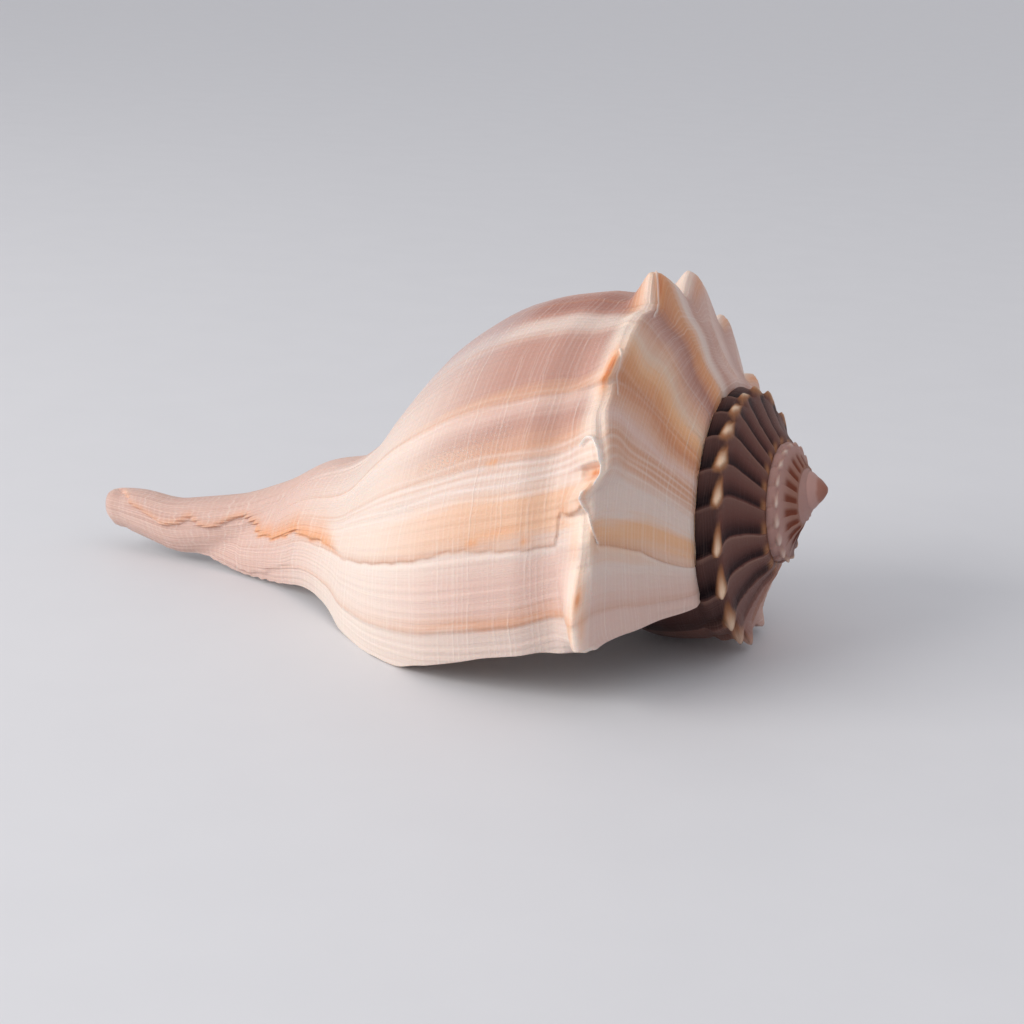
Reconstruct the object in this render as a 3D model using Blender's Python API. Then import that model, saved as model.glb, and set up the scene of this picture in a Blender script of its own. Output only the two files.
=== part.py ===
"""Lightning whelk shell, grown as one piece: a left-handed coil that ends in a long open canal.

The wall is drawn with two positions. "turn" counts whorls, 0 at the lip and falling towards the apex.
"v" runs down the outside of a whorl: 0 at the seam with the whorl before, V_SHOULDER at the spiny edge,
V_SUTURE where the next whorl's seam lies, 1 at the end of the canal. Lengths are in millimetres until
the last step.
"""
import math

import bmesh
import bpy
import numpy as np

NAME = "whelk_shell"

GROWTH_PER_TURN = 2.138
SHOULDER_RADIUS = 44.6
SHOULDER_FROM_APEX = 28.0
CANAL_END = 132.4
APEX_NUB = 0.8
FIRST_TURN = -4.75
LUMEN_TURNS = 0.85
V_SHOULDER = 0.22
V_SUTURE = 0.286
V_ROOT = 0.305
SEAM_FADE = 0.09

COLUMNS_PER_TURN = 160
RAMP_ROWS = 14
SEAM_ROWS = 4
BODY_ROWS = 50
CAD_TRIANGLES = 9600

# The body's outline at the lip: distance from the apex, radius.
BODY = ((28, 44.6), (31, 43.2), (35, 43.0), (41, 44.4), (48, 44.3), (56.5, 43.15), (62.7, 40.6),
        (69.1, 36.8), (77, 29.5), (84.2, 21.5), (89.5, 17.0), (95.3, 13.0), (105, 7.2), (112, 1.6),
        (140, 0.5))
# The canal's half width, and how far its middle line wanders off the axis.
CANAL = ((0, 14), (40, 11.5), (60, 11), (80, 8.0), (95, 5.1), (105, 4.75), (115, 4.6), (125, 4.0),
         (130, 3.1), (131.6, 2.5), (133, 1.3))
BOW = ((0, 0), (75, 0), (88, -2.0), (97, 0), (106, 1.5), (117, 1.7), (126, -0.7), (136, -3.4))
# How far the canal's wall has opened at each turn of its roll.
CANAL_ROLL = ((-2.2, 0.26), (-1.5, 0.33), (-1.0, 0.47), (-0.75, 0.66), (-0.5, 0.88), (-0.25, 1.04),
              (0.0, 1.24), (0.2, 1.34))
# The lip's edge, and each growth line, runs this far round from a straight cut, in turns.
LIP = ((0, 0), (0.1, -0.03), (0.22, -0.058), (0.3, -0.05), (0.45, -0.035), (0.6, -0.013),
       (0.68, 0.017), (0.75, 0.04), (0.83, 0.054), (1.0, 0.066))
# The thin last strip of lip, grown past the last ridge: v, how much further round it reaches.
LIP_STRIP = ((0, 0), (0.1, 0.0045), (0.18, 0.009), (0.24, 0.0135), (0.27, 0.011), (0.3, 0.0055),
             (0.34, 0.002), (0.38, 0), (0.46, 0), (0.5, 0.003), (0.54, 0), (1.0, 0))
LIP_STRIP_START = -0.03
WALL = ((0, 1.1), (0.15, 1.5), (0.3, 2.0), (0.6, 2.0), (0.75, 1.5), (0.9, 1.0), (1.0, 0.85))

# Shoulder spines seen in the photograph on the last half turn: turn, height, lean to the apex, bluntness.
NEAR_SPINES = ((-0.002, 3.4, 0.0, 0.5), (-0.053, 1.4, 0.5, 0.5), (-0.092, 2.8, 3.4, 0.3),
               (-0.168, 3.2, 2.2, 0.3), (-0.262, 4.6, 0.0, 0.15), (-0.328, 4.8, 0.2, 0.6),
               (-0.402, 4.0, -0.4, 0.25), (-0.471, 4.8, 1.2, 0.25))
HIDDEN_SPINES = (-0.537, -0.603, -0.669)
SPINE_BLUNTNESS = 0.3
DARK_KNOBS = (-0.735, -0.798, -0.845, -0.891, -0.949, -1.005, -1.066, -1.112, -1.158, -1.2, -1.241,
              -1.295, -1.354, -1.423)
HIDDEN_SPINE_HEIGHT = 3.6
KNOB_HEIGHT = 4.4
EARLY_KNOB_HEIGHT = 3.6
EARLY_KNOB_STEP = 0.056
KNOB_LEAN = 0.6
# How far a spine, a dark knob, its rib and its panel reach, in turns: before the peak, after it.
SPINE_REACH = (0.042, 0.016)
KNOB_REACH = (0.032, 0.010)
RIB_REACH = (0.045, 0.007)
PANEL_REACH = (0.004, 0.050)
FAR_FROM_SPINE = 0.06
# The same across the shoulder, on the light whorl and on the dark ones: up the ramp, down the body.
LIGHT_CREST = (0.085, 0.048)
DARK_CREST = (0.040, 0.034)
CREST_BLUNTNESS = 0.4
RIB_SHARE = 0.30
DARK_RIB_SHARE = 0.45
ROOT_SHARE = 0.5
FOLD_HOLLOW = 0.22
FOLD_HOLLOW_PLACE = 0.024
FOLD_HOLLOW_REACH = 0.014
# The whorls' outline: the seam stands out under a later whorl, and the ramp is hollow with a ledge.
FULLER_SEAM = 3.2
RAMP_HOLLOW = 0.03
SEAM_LEDGE = 0.014
SHOULDER_ROUNDING = 0.02
PLAIN_CONE_TURN = -2.6
# How far each growth line bends back up the ramp, in turns, near the lip and further round.
LINE_PEAK = 0.3
LIP_LINE_BEND = 0.012
LATER_LINE_BEND = 0.028
OLD_LINE_BEND = 0.036
LINE_SLIP = 0.05

# How the shell lies: the lip's place round the axis, and the fall of the axis towards the canal.
LIP_ANGLE_DEG = 35.53
AXIS_FALL_DEG = 10.06
BOW_ANGLE_DEG = 74.69

CREAM = (0.78, 0.66, 0.57, 1.0)
ROUGHNESS = 0.45


def through(points, x):
    """Smooth line through a few points, level at each peak."""
    xs, ys = np.array(points, float).T
    gap = np.diff(xs)
    slope = np.diff(ys) / gap
    left = 2 * gap[1:] + gap[:-1]
    right = gap[1:] + 2 * gap[:-1]
    same_way = slope[:-1] * slope[1:] > 0
    before = np.where(same_way, slope[:-1], 1)
    after = np.where(same_way, slope[1:], 1)
    middle = np.where(same_way, (left + right) / (left / before + right / after), 0)
    lean = np.concatenate([slope[:1], middle, slope[-1:]])
    x = np.asarray(x, float)
    k = np.clip(np.searchsorted(xs, x) - 1, 0, len(gap) - 1)
    u = (x - xs[k]) / gap[k]
    inside = (ys[k] * (1 + 2 * u) * (1 - u) ** 2 + gap[k] * lean[k] * u * (1 - u) ** 2
              + ys[k + 1] * u * u * (3 - 2 * u) + gap[k] * lean[k + 1] * u * u * (u - 1))
    outside = np.where(u < 0, ys[k] + lean[k] * (x - xs[k]), ys[k + 1] + lean[k + 1] * (x - xs[k + 1]))
    return np.where((u < 0) | (u > 1), outside, inside)


def ease(x):
    """Soft step from 0 to 1."""
    x = np.clip(x, 0, 1)
    return x * x * (3 - 2 * x)


def below_shoulder(turn, v):
    """Distance from the apex and radius of the wall from the shoulder down to the canal's end."""
    size = GROWTH_PER_TURN ** turn
    u = np.clip((v - V_SHOULDER) / (1 - V_SHOULDER), 0, 1)
    full = SHOULDER_FROM_APEX + (CANAL_END - SHOULDER_FROM_APEX) * (0.92 * u + 0.08 * u * u)
    along = size * full + CANAL_END * (1 - size) * ease(2 * v - 1)
    past_waist = np.clip((along / size - 60) / 30, 0, 1)
    body = size * through(BODY, along / size)
    canal = through(CANAL_ROLL, turn) * through(CANAL, along) * past_waist
    blend = 2.5 * size * past_waist
    return along, 0.5 * (body + canal + np.sqrt((body - canal) ** 2 + blend ** 2 + 1e-9))


def whorl_outline(turn, v):
    """The same with the ramp from the seam to the shoulder. The first whorls are a plain cone."""
    turn, v = np.broadcast_arrays(np.asarray(turn, float), np.asarray(v, float))
    size = GROWTH_PER_TURN ** turn
    along, radius = below_shoulder(turn, np.maximum(v, V_SHOULDER))
    seam_along, seam_radius = below_shoulder(turn - 1, np.full_like(v, V_SUTURE))
    seam_radius = seam_radius + FULLER_SEAM * GROWTH_PER_TURN ** (turn - 1) * ease((0.25 - turn) / 0.3)
    u = np.clip(v / V_SHOULDER, 0, 1)
    run = size * SHOULDER_FROM_APEX - seam_along
    rise = size * SHOULDER_RADIUS - seam_radius
    slant = np.hypot(run, rise)
    hollow = RAMP_HOLLOW * size * SHOULDER_RADIUS * np.sin(np.pi * u)
    ledge = SEAM_LEDGE * size * SHOULDER_RADIUS * ease(u / 0.05) * (1 - ease((u - 0.05) / 0.3))
    dent = hollow - ledge
    on_ramp = v < V_SHOULDER
    radius = radius + FULLER_SEAM * size * ease((-0.75 - turn) / 0.3) * ease((v - V_SHOULDER) / 0.05)
    along = np.where(on_ramp, seam_along + run * u + dent * rise / slant, along)
    radius = np.where(on_ramp, seam_radius + rise * u - dent * run / slant, radius)
    foot_along, foot_radius = below_shoulder(turn, np.full_like(v, V_SUTURE))
    foot_radius = foot_radius + FULLER_SEAM * size
    w = np.clip(v / V_SUTURE, 0, 1)
    young = ease((PLAIN_CONE_TURN - turn) / 0.4) * (v < V_SUTURE)
    along = along + young * (seam_along + (foot_along - seam_along) * w - along)
    radius = radius + young * (seam_radius + (foot_radius - seam_radius) * w - radius)
    return along + APEX_NUB, radius


def soft_outline(turn, v):
    """The whorl's outline with its shoulder rounded over."""
    near = SHOULDER_ROUNDING * np.clip(1 - abs(v - V_SHOULDER) / 0.06, 0, 1)
    drawn = [whorl_outline(turn, v + step * near) for step in (-1, -0.5, 0, 0.5, 1)]
    return np.mean([along for along, radius in drawn], 0), np.mean([radius for along, radius in drawn], 0)


def to_lip(turn, v):
    """Carries the last bit of the whorl out to the thin strip along the lip."""
    return turn + through(LIP_STRIP, v) * ease(1 - turn / LIP_STRIP_START)


def spines():
    """Every spine from the lip to the apex: turn, then height, lean and bluntness at full size."""
    found = list(NEAR_SPINES)
    found += [(turn, HIDDEN_SPINE_HEIGHT, KNOB_LEAN, SPINE_BLUNTNESS) for turn in HIDDEN_SPINES]
    found += [(turn, KNOB_HEIGHT, KNOB_LEAN, SPINE_BLUNTNESS) for turn in DARK_KNOBS]
    count = int((DARK_KNOBS[-1] - FIRST_TURN - 0.6) / EARLY_KNOB_STEP)
    for k in range(count):
        place = DARK_KNOBS[-1] - EARLY_KNOB_STEP * (k + 1)
        found.append((place, EARLY_KNOB_HEIGHT, KNOB_LEAN, SPINE_BLUNTNESS))
    return found


def growth_turn(turn, v):
    """The turn when this point grew: on the ramp each growth line bends back from the shoulder."""
    u = np.clip(v / V_SHOULDER, 0, 1)
    to_shoulder = 1 - ((u - LINE_PEAK) / (1 - LINE_PEAK)) ** 2
    to_seam = 1 - 0.25 * ((LINE_PEAK - u) / LINE_PEAK) ** 2
    bend = np.where(u > LINE_PEAK, to_shoulder, to_seam)
    deep = LIP_LINE_BEND * ease(-turn / 0.05)
    deep = deep + (LATER_LINE_BEND - LIP_LINE_BEND) * ease((-0.05 - turn) / 0.05)
    deep = deep + (OLD_LINE_BEND - LATER_LINE_BEND) * ease((-0.2 - turn) / 0.1) * ease((turn + 0.8) / 0.2)
    slip = LINE_SLIP * np.clip(v - 0.27, 0, 0.35) * ease((turn + 0.2) / 0.15)
    return turn + deep * bend + slip


def rounded_peak(past, behind, ahead, blunt):
    """Peak of height 1 with a blunt top, reaching 0 at a set distance on each side."""
    d = np.where(past < 0, -past / behind, past / ahead)
    return np.clip(1 - (np.hypot(d, blunt) - blunt) / (math.hypot(1, blunt) - blunt), 0, 1)


def run_out(past, reach):
    """Falls from 1 at the peak to 0 at its reach, straight on both sides."""
    return np.clip(1 - np.where(past < 0, -past / reach[0], past / reach[1]), 0, 1)


def spine_lift(turn, v):
    """Rise and lean of the folded spines and dark knobs, each with a rib or a panel up the ramp."""
    turn, v = np.broadcast_arrays(turn, v)
    size = GROWTH_PER_TURN ** turn
    u = np.clip(v / V_SHOULDER, 0, 1)
    smooth_tip = 1 - ease((PLAIN_CONE_TURN + 0.05 - turn) / 0.4)
    dark = ease((-0.62 - turn) / 0.15)
    rib = (RIB_SHARE + (DARK_RIB_SHARE - RIB_SHARE) * dark) * ease((-0.18 - turn) / 0.25)
    rib = rib * np.sin(np.pi * u ** 0.8) ** 0.7
    up, down = [light + (old - light) * dark for light, old in zip(LIGHT_CREST, DARK_CREST)]
    crest = rounded_peak(v - 0.004 * (1 - dark) - V_SHOULDER, up, down, CREST_BLUNTNESS) ** 1.2
    root = ROOT_SHARE * ease((v - V_SHOULDER) / 0.02) * (1 - ease((v - 0.275) / 0.03)) * dark
    grown = growth_turn(turn, v)
    rise = np.zeros(turn.shape)
    lean = np.zeros(turn.shape)
    for place, tall, tilt, blunt in spines():
        past = grown - place
        tip = rounded_peak(past, *SPINE_REACH, blunt) ** 1.3
        knob = rounded_peak(past, *KNOB_REACH, blunt)
        point = tip + (knob - tip) * dark
        panel = run_out(past, PANEL_REACH) ** 0.8
        fan = run_out(past, RIB_REACH) * (1 - dark) + panel * dark
        hollow = FOLD_HOLLOW * (1 - dark)
        hollow = hollow * np.clip(1 - abs(past - FOLD_HOLLOW_PLACE) / FOLD_HOLLOW_REACH, 0, 1)
        shape = np.maximum(crest * (point - hollow), np.maximum(rib * fan, root * panel))
        shape = np.where(hollow > point, -crest * hollow, shape)
        shape = np.where(abs(past) < FAR_FROM_SPINE, shape, 0)
        rise += tall * shape * size * smooth_tip
        lean += tilt * np.maximum(shape, 0) * size * smooth_tip
    return rise, lean


def stand(turn, along, radius):
    """Places a point of the wall in space as the shell lies, axis roughly along X, apex at +X."""
    angle = 2 * math.pi * turn + math.radians(LIP_ANGLE_DEG)
    bow = through(BOW, along)
    side = math.radians(BOW_ANGLE_DEG)
    x = -along
    y = -radius * np.cos(angle) - bow * math.cos(side)
    z = -radius * np.sin(angle) - bow * math.sin(side)
    fall = math.radians(AXIS_FALL_DEG)
    return np.stack([x * math.cos(fall) - z * math.sin(fall), y, x * math.sin(fall) + z * math.cos(fall)], -1)


def outside(turn, v):
    """The outer face of the wall, with its spines."""
    round_turn = turn + through(LIP, v)
    along, radius = soft_outline(round_turn, v)
    rise, lean = spine_lift(turn, v)
    rise_below, lean_below = spine_lift(turn - 1, np.full_like(v + 0 * turn, V_SUTURE))
    rise = rise + rise_below * (1 - ease(v / SEAM_FADE))
    return stand(round_turn, along - lean, radius + rise)


def inside(turn, v):
    """The smooth inner face of the wall."""
    step = 0.001
    round_turn = turn + through(LIP, v)
    along, radius = soft_outline(round_turn, v)
    along_a, radius_a = soft_outline(round_turn, np.clip(v - step, 0, 1))
    along_b, radius_b = soft_outline(round_turn, np.clip(v + step, 0, 1))
    run, rise = along_b - along_a, radius_b - radius_a
    length = np.hypot(run, rise) + 1e-9
    wall = through(WALL, v)
    return stand(round_turn, along + wall * rise / length, np.maximum(radius - wall * run / length, 0.3))


def whorl_rows():
    """Positions down the whorl where the wall is drawn."""
    ramp = np.linspace(0, V_SHOULDER, RAMP_ROWS + 1)[:-1]
    seam = np.linspace(V_SHOULDER, V_SUTURE, SEAM_ROWS + 1)
    body = np.linspace(V_ROOT, 1, BODY_ROWS + 1)
    return np.concatenate([ramp, seam, body])


def grow():
    """Vertices and faces of the whole shell as one closed skin."""
    n = COLUMNS_PER_TURN
    lip = int(round(-FIRST_TURN * n))
    depth = int(round(LUMEN_TURNS * n))
    under_lip = lip - n
    blind = under_lip - depth
    rows = whorl_rows()
    seam = RAMP_ROWS + SEAM_ROWS
    root = seam + 1
    last = len(rows) - 1
    turns = to_lip((np.arange(lip + 1)[:, None] - lip) / n, rows[None, :])
    outer = outside(turns, rows[None, :])
    inner = inside(turns, rows[None, :])
    points = [(0.0, 0.0, 0.0)]
    skin = {}
    for c in range(lip + 1):
        skin[c, 0] = 0 if c < n else skin[c - n, seam]
        deepest = last if c >= blind else seam
        for j in range(1, deepest + 1):
            skin[c, j] = len(points)
            points.append(tuple(outer[c, j]))
    lining = {}
    for c in range(lip - depth, lip + 1):
        lining[c, 0] = skin[c - n, root]
        for j in range(1, last + 1):
            lining[c, j] = len(points)
            points.append(tuple(inner[c, j]))
    faces = []
    for c in range(lip):
        for j in range(last):
            if (j == seam and c < under_lip) or (j > seam and c < blind):
                continue
            face = (skin[c, j + 1], skin[c + 1, j + 1], skin[c + 1, j], skin[c, j])
            faces.append(face[:3] if skin[c, j] == skin[c + 1, j] else face)
    faces.append(tuple([skin[0, j] for j in range(seam, 0, -1)] + [0]))
    for c in range(lip - depth, lip):
        for j in range(last):
            faces.append((lining[c + 1, j], lining[c + 1, j + 1], lining[c, j + 1], lining[c, j]))
        faces.append((lining[c, last], lining[c + 1, last], skin[c + 1, last], skin[c, last]))
    end = lip - depth
    for j in range(last):
        faces.append((skin[lip, j + 1], lining[lip, j + 1], lining[lip, j], skin[lip, j]))
        if j >= root:
            faces.append((lining[end, j], lining[end, j + 1], skin[blind, j + 1], skin[blind, j]))
        elif j > 0:
            faces.append((lining[end, j], lining[end, j + 1], skin[blind, root]))
    core = [skin[c, last] for c in range(blind, end + 1)] + [lining[end, last]]
    middle = len(points)
    points.append(tuple(np.mean([points[k] for k in core], axis=0)))
    for a, b in zip(core, core[1:] + core[:1]):
        faces.append((middle, b, a))
    return points, faces


def build():
    for item in list(bpy.data.objects):
        bpy.data.objects.remove(item, do_unlink=True)
    points, faces = grow()
    points = np.array(points)
    centre = 0.5 * (points.min(axis=0) + points.max(axis=0))
    centre[2] = points[:, 2].min()
    mesh = bpy.data.meshes.new(NAME)
    mesh.from_pydata(((points - centre) / 1000).tolist(), [], faces)
    mesh.validate()
    shell = bpy.data.objects.new(NAME, mesh)
    bpy.context.scene.collection.objects.link(shell)
    edit = bmesh.new()
    edit.from_mesh(mesh)
    bmesh.ops.triangulate(edit, faces=edit.faces)
    fine = len(edit.faces)
    edit.to_mesh(mesh)
    edit.free()
    for face in mesh.polygons:
        face.use_smooth = True
    thin = shell.modifiers.new("fewer faces", "DECIMATE")
    thin.ratio = CAD_TRIANGLES / fine
    paint = bpy.data.materials.new("shell cream")
    paint.use_nodes = True
    shader = paint.node_tree.nodes["Principled BSDF"]
    shader.inputs["Base Color"].default_value = CREAM
    shader.inputs["Roughness"].default_value = ROUGHNESS
    shader.inputs["Metallic"].default_value = 0.0
    mesh.materials.append(paint)
    return shell


build()
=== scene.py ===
import math

import bpy
import numpy as np
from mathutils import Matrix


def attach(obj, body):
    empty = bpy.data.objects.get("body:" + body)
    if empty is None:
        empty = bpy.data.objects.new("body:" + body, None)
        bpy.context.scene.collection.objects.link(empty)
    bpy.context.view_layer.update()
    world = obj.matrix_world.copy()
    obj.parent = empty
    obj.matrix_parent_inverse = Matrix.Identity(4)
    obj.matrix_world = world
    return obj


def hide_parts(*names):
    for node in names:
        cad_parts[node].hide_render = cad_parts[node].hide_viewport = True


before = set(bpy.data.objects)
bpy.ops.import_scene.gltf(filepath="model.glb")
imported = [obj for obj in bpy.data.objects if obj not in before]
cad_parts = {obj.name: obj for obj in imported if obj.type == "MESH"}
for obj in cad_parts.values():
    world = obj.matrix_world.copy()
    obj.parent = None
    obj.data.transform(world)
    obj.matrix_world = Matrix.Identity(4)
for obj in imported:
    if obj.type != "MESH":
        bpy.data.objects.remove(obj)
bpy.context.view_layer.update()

# The shell's wall. One coil of shell lime, laid down at the lip turn after turn, left-handed. Each
# whorl grows out of a seam on the whorl before, climbs a ramp to the shoulder and runs down to the
# canal. "turn" is 0 at the lip and falls towards the apex; "v" is 0 at the seam and 1 at the canal's end.
GROWTH_PER_TURN = 2.138
SHOULDER_RADIUS = 44.6
SHOULDER_FROM_APEX = 28.0
CANAL_END = 132.4
APEX_NUB = 0.8
V_SHOULDER = 0.22
V_SEAM = 0.286
V_ROOT = 0.305
FULLER_SEAM = 3.2
RAMP_HOLLOW = 0.03
SEAM_LEDGE = 0.014
SHOULDER_ROUNDING = 0.02
PLAIN_CONE_TURN = -2.6
BODY = ((28, 44.6), (31, 43.2), (35, 43.0), (41, 44.4), (48, 44.3), (56.5, 43.15), (62.7, 40.6),
        (69.1, 36.8), (77, 29.5), (84.2, 21.5), (89.5, 17.0), (95.3, 13.0), (105, 7.2), (112, 1.6),
        (140, 0.5))
CANAL = ((0, 14), (40, 11.5), (60, 11), (80, 8.0), (95, 5.1), (105, 4.75), (115, 4.6), (125, 4.0),
         (130, 3.1), (131.6, 2.5), (133, 1.3))
BOW = ((0, 0), (75, 0), (88, -2.0), (97, 0), (106, 1.5), (117, 1.7), (126, -0.7), (136, -3.4))
CANAL_ROLL = ((-2.2, 0.26), (-1.5, 0.33), (-1.0, 0.47), (-0.75, 0.66), (-0.5, 0.88), (-0.25, 1.04),
              (0.0, 1.24), (0.2, 1.34))
LIP = ((0, 0), (0.1, -0.03), (0.22, -0.058), (0.3, -0.05), (0.45, -0.035), (0.6, -0.013),
       (0.68, 0.017), (0.75, 0.04), (0.83, 0.054), (1.0, 0.066))


def through(points, x):
    xs, ys = np.array(points, float).T
    gap = np.diff(xs)
    slope = np.diff(ys) / gap
    left = 2 * gap[1:] + gap[:-1]
    right = gap[1:] + 2 * gap[:-1]
    same_way = slope[:-1] * slope[1:] > 0
    before = np.where(same_way, slope[:-1], 1)
    after = np.where(same_way, slope[1:], 1)
    middle = np.where(same_way, (left + right) / (left / before + right / after), 0)
    lean = np.concatenate([slope[:1], middle, slope[-1:]])
    x = np.asarray(x, float)
    k = np.clip(np.searchsorted(xs, x) - 1, 0, len(gap) - 1)
    u = (x - xs[k]) / gap[k]
    inside = (ys[k] * (1 + 2 * u) * (1 - u) ** 2 + gap[k] * lean[k] * u * (1 - u) ** 2
              + ys[k + 1] * u * u * (3 - 2 * u) + gap[k] * lean[k + 1] * u * u * (u - 1))
    outside = np.where(u < 0, ys[k] + lean[k] * (x - xs[k]), ys[k + 1] + lean[k + 1] * (x - xs[k + 1]))
    return np.where((u < 0) | (u > 1), outside, inside)


def ease(x):
    x = np.clip(x, 0, 1)
    return x * x * (3 - 2 * x)


def below_shoulder(turn, v):
    size = GROWTH_PER_TURN ** turn
    u = np.clip((v - V_SHOULDER) / (1 - V_SHOULDER), 0, 1)
    full = SHOULDER_FROM_APEX + (CANAL_END - SHOULDER_FROM_APEX) * (0.92 * u + 0.08 * u * u)
    along = size * full + CANAL_END * (1 - size) * ease(2 * v - 1)
    past_waist = np.clip((along / size - 60) / 30, 0, 1)
    body = size * through(BODY, along / size)
    canal = through(CANAL_ROLL, turn) * through(CANAL, along) * past_waist
    blend = 2.5 * size * past_waist
    return along, 0.5 * (body + canal + np.sqrt((body - canal) ** 2 + blend ** 2 + 1e-9))


def whorl_outline(turn, v):
    turn, v = np.broadcast_arrays(np.asarray(turn, float), np.asarray(v, float))
    size = GROWTH_PER_TURN ** turn
    along, radius = below_shoulder(turn, np.maximum(v, V_SHOULDER))
    seam_along, seam_radius = below_shoulder(turn - 1, np.full_like(v, V_SEAM))
    seam_radius = seam_radius + FULLER_SEAM * GROWTH_PER_TURN ** (turn - 1) * ease((0.25 - turn) / 0.3)
    u = np.clip(v / V_SHOULDER, 0, 1)
    run = size * SHOULDER_FROM_APEX - seam_along
    rise = size * SHOULDER_RADIUS - seam_radius
    slant = np.hypot(run, rise)
    hollow = RAMP_HOLLOW * size * SHOULDER_RADIUS * np.sin(np.pi * u)
    ledge = SEAM_LEDGE * size * SHOULDER_RADIUS * ease(u / 0.05) * (1 - ease((u - 0.05) / 0.3))
    dent = hollow - ledge
    on_ramp = v < V_SHOULDER
    radius = radius + FULLER_SEAM * size * ease((-0.75 - turn) / 0.3) * ease((v - V_SHOULDER) / 0.05)
    along = np.where(on_ramp, seam_along + run * u + dent * rise / slant, along)
    radius = np.where(on_ramp, seam_radius + rise * u - dent * run / slant, radius)
    foot_along, foot_radius = below_shoulder(turn, np.full_like(v, V_SEAM))
    foot_radius = foot_radius + FULLER_SEAM * size
    w = np.clip(v / V_SEAM, 0, 1)
    young = ease((PLAIN_CONE_TURN - turn) / 0.4) * (v < V_SEAM)
    along = along + young * (seam_along + (foot_along - seam_along) * w - along)
    radius = radius + young * (seam_radius + (foot_radius - seam_radius) * w - radius)
    return along + APEX_NUB, radius


# The thin last strip of lip, grown past the last ridge: v, how much further round it reaches.
LIP_STRIP = ((0, 0), (0.1, 0.0045), (0.18, 0.009), (0.24, 0.0135), (0.27, 0.011), (0.3, 0.0055),
             (0.34, 0.002), (0.38, 0), (0.46, 0), (0.5, 0.003), (0.54, 0), (1.0, 0))
LIP_STRIP_TURNS = 0.03


def to_lip(turn, v):
    return turn + through(LIP_STRIP, v) * ease((turn + LIP_STRIP_TURNS) / LIP_STRIP_TURNS)


def soft_outline(turn, v):
    near = SHOULDER_ROUNDING * np.clip(1 - abs(v - V_SHOULDER) / 0.06, 0, 1)
    drawn = [whorl_outline(turn, v + step * near) for step in (-1, -0.5, 0, 0.5, 1)]
    return np.mean([along for along, radius in drawn], 0), np.mean([radius for along, radius in drawn], 0)


# The shoulder's spines on the last half turn: turn, height, lean to the apex, bluntness. Then the ones
# round the back and the knobs of the dark whorl. A reach is in turns: before the peak, then after it.
NEAR_SPINES = ((-0.002, 3.4, 0.0, 0.5), (-0.053, 1.4, 0.5, 0.5), (-0.092, 2.8, 3.4, 0.3),
               (-0.168, 3.2, 2.2, 0.3), (-0.262, 4.6, 0.0, 0.15), (-0.328, 4.8, 0.2, 0.6),
               (-0.402, 4.0, -0.4, 0.25), (-0.471, 4.8, 1.2, 0.25))
HIDDEN_SPINES = (-0.537, -0.603, -0.669)
SPINE_BLUNTNESS = 0.3
DARK_KNOBS = (-0.735, -0.798, -0.845, -0.891, -0.949, -1.005, -1.066, -1.112, -1.158, -1.2, -1.241,
              -1.295, -1.354, -1.423)
HIDDEN_SPINE_HEIGHT = 3.6
KNOB_HEIGHT = 4.4
EARLY_KNOB_HEIGHT = 3.6
EARLY_KNOB_STEP = 0.056
KNOB_LEAN = 0.6
FIRST_TURN = -4.75
SPINE_REACH = (0.042, 0.016)
KNOB_REACH = (0.032, 0.010)
RIB_REACH = (0.045, 0.007)
PANEL_REACH = (0.004, 0.050)
FAR_FROM_SPINE = 0.06
LIGHT_CREST = (0.085, 0.048)
DARK_CREST = (0.045, 0.034)
CREST_BLUNTNESS = 0.4
RIB_SHARE = 0.30
DARK_RIB_SHARE = 0.45
ROOT_SHARE = 0.5
FOLD_HOLLOW = 0.22
FOLD_HOLLOW_PLACE = 0.024
FOLD_HOLLOW_REACH = 0.014
LINE_PEAK = 0.3
LIP_LINE_BEND = 0.012
LATER_LINE_BEND = 0.028
OLD_LINE_BEND = 0.036
LINE_SLIP = 0.05


def spines():
    found = list(NEAR_SPINES)
    found += [(turn, HIDDEN_SPINE_HEIGHT, KNOB_LEAN, SPINE_BLUNTNESS) for turn in HIDDEN_SPINES]
    found += [(turn, KNOB_HEIGHT, KNOB_LEAN, SPINE_BLUNTNESS) for turn in DARK_KNOBS]
    count = int((DARK_KNOBS[-1] - FIRST_TURN - 0.6) / EARLY_KNOB_STEP)
    for k in range(count):
        place = DARK_KNOBS[-1] - EARLY_KNOB_STEP * (k + 1)
        found.append((place, EARLY_KNOB_HEIGHT, KNOB_LEAN, SPINE_BLUNTNESS))
    return found


def growth_turn(turn, v):
    u = np.clip(v / V_SHOULDER, 0, 1)
    to_shoulder = 1 - ((u - LINE_PEAK) / (1 - LINE_PEAK)) ** 2
    to_seam = 1 - 0.25 * ((LINE_PEAK - u) / LINE_PEAK) ** 2
    bend = np.where(u > LINE_PEAK, to_shoulder, to_seam)
    deep = LIP_LINE_BEND * ease(-turn / 0.05)
    deep = deep + (LATER_LINE_BEND - LIP_LINE_BEND) * ease((-0.05 - turn) / 0.05)
    deep = deep + (OLD_LINE_BEND - LATER_LINE_BEND) * ease((-0.2 - turn) / 0.1) * ease((turn + 0.8) / 0.2)
    slip = LINE_SLIP * np.clip(v - 0.27, 0, 0.35) * ease((turn + 0.2) / 0.15)
    return turn + deep * bend + slip


def rounded_peak(past, behind, ahead, blunt):
    d = np.where(past < 0, -past / behind, past / ahead)
    return np.clip(1 - (np.hypot(d, blunt) - blunt) / (math.hypot(1, blunt) - blunt), 0, 1)


def run_out(past, reach, sharp=(1, 1)):
    before = np.clip(1 + past / reach[0], 0, 1) ** sharp[0]
    after = np.clip(1 - past / reach[1], 0, 1) ** sharp[1]
    return np.where(past < 0, before, after)


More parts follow.
